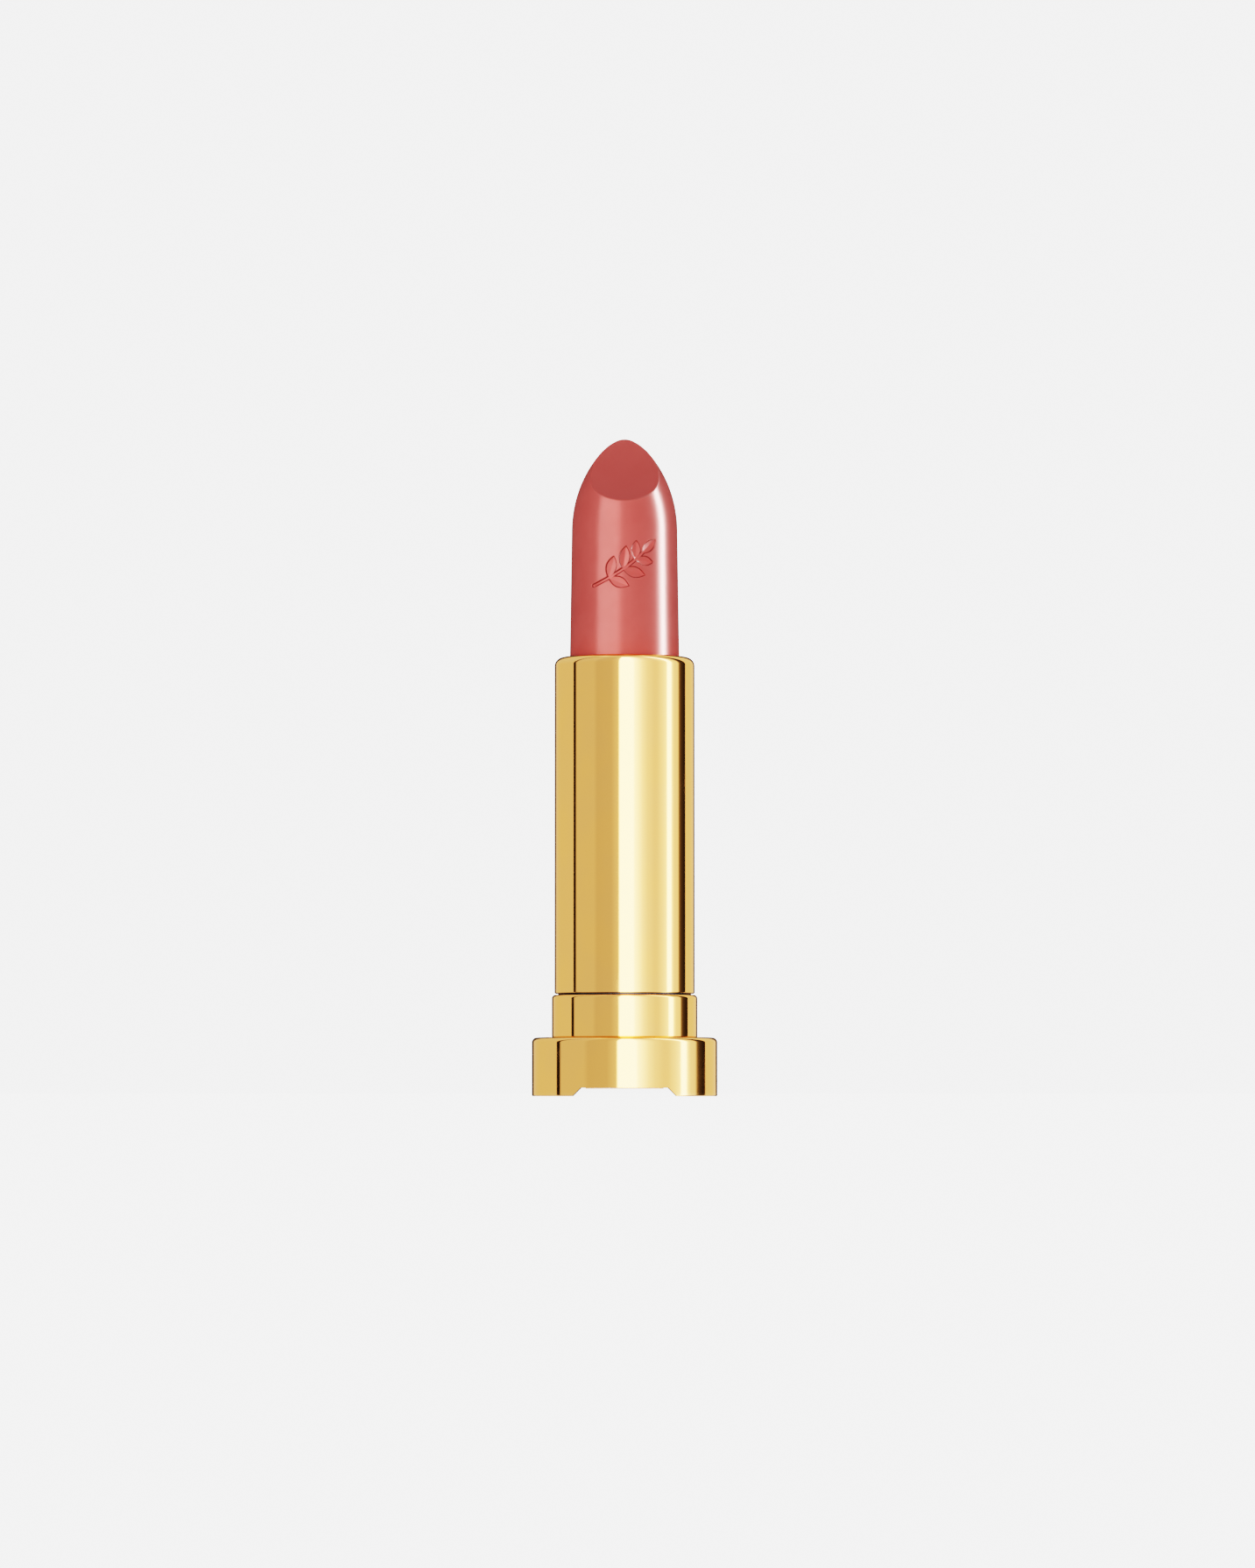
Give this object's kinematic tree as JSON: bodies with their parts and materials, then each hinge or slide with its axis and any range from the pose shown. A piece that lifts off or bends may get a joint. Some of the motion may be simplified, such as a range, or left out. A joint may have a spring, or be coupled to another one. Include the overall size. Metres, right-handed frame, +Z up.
{
  "type": "swivel lipstick cartridge",
  "caption": "Swivel-up lipstick cartridge: a slanted colour stick rises from a turning gold tube above a collar and a wider foot.",
  "frame": {"origin": "middle of the foot's underside, on the surface it stands on", "axes": "+Z up along the swivel axis, towards the tip of the stick; the slanted face looks to -Y; the key slot runs along Y"},
  "size_m": [0.0204, 0.0204, 0.0728],
  "materials": {
    "gold_foot": "gold anodised, polished",
    "gold_collar": "gold anodised, polished",
    "gold_tube": "gold anodised, polished",
    "moulded_core": "black moulded",
    "moulded_guide": "natural white, moulded",
    "moulded_cam": "dark acetal, moulded",
    "steel_weight": "turned",
    "silicone": "soft, matt",
    "label_paper": "blank coated paper",
    "bare_cup": "bare, drawn",
    "lipstick": "satin coral wax"
  },
  "bodies": {
    "base": {"foot_shell": "gold_foot", "collar_ring": "gold_collar", "base_core": "moulded_core", "base_weight": "steel_weight", "guide_tube": "moulded_guide", "brake_ring": "silicone", "shade_label": "label_paper"},
    "sleeve": {"outer_tube": "gold_tube", "spiral_cam": "moulded_cam"},
    "carrier": {"carrier_cup": "bare_cup", "bullet": "lipstick"}
  },
  "joints": [
    {"name": "stick_lift", "type": "slide", "parent": "base", "child": "carrier", "axis": [0, 0, 1], "range_m": [-0.02475, 0]},
    {"name": "sleeve_turn", "type": "hinge", "parent": "base", "child": "sleeve", "pos_m": [0, 0, 0.03], "axis": [0, 0, 1], "range_deg": [0, 540]}
  ],
  "couplings": [
    {"joint": "sleeve_turn", "follows": "stick_lift", "rad_per_m": -380.8}
  ]
}
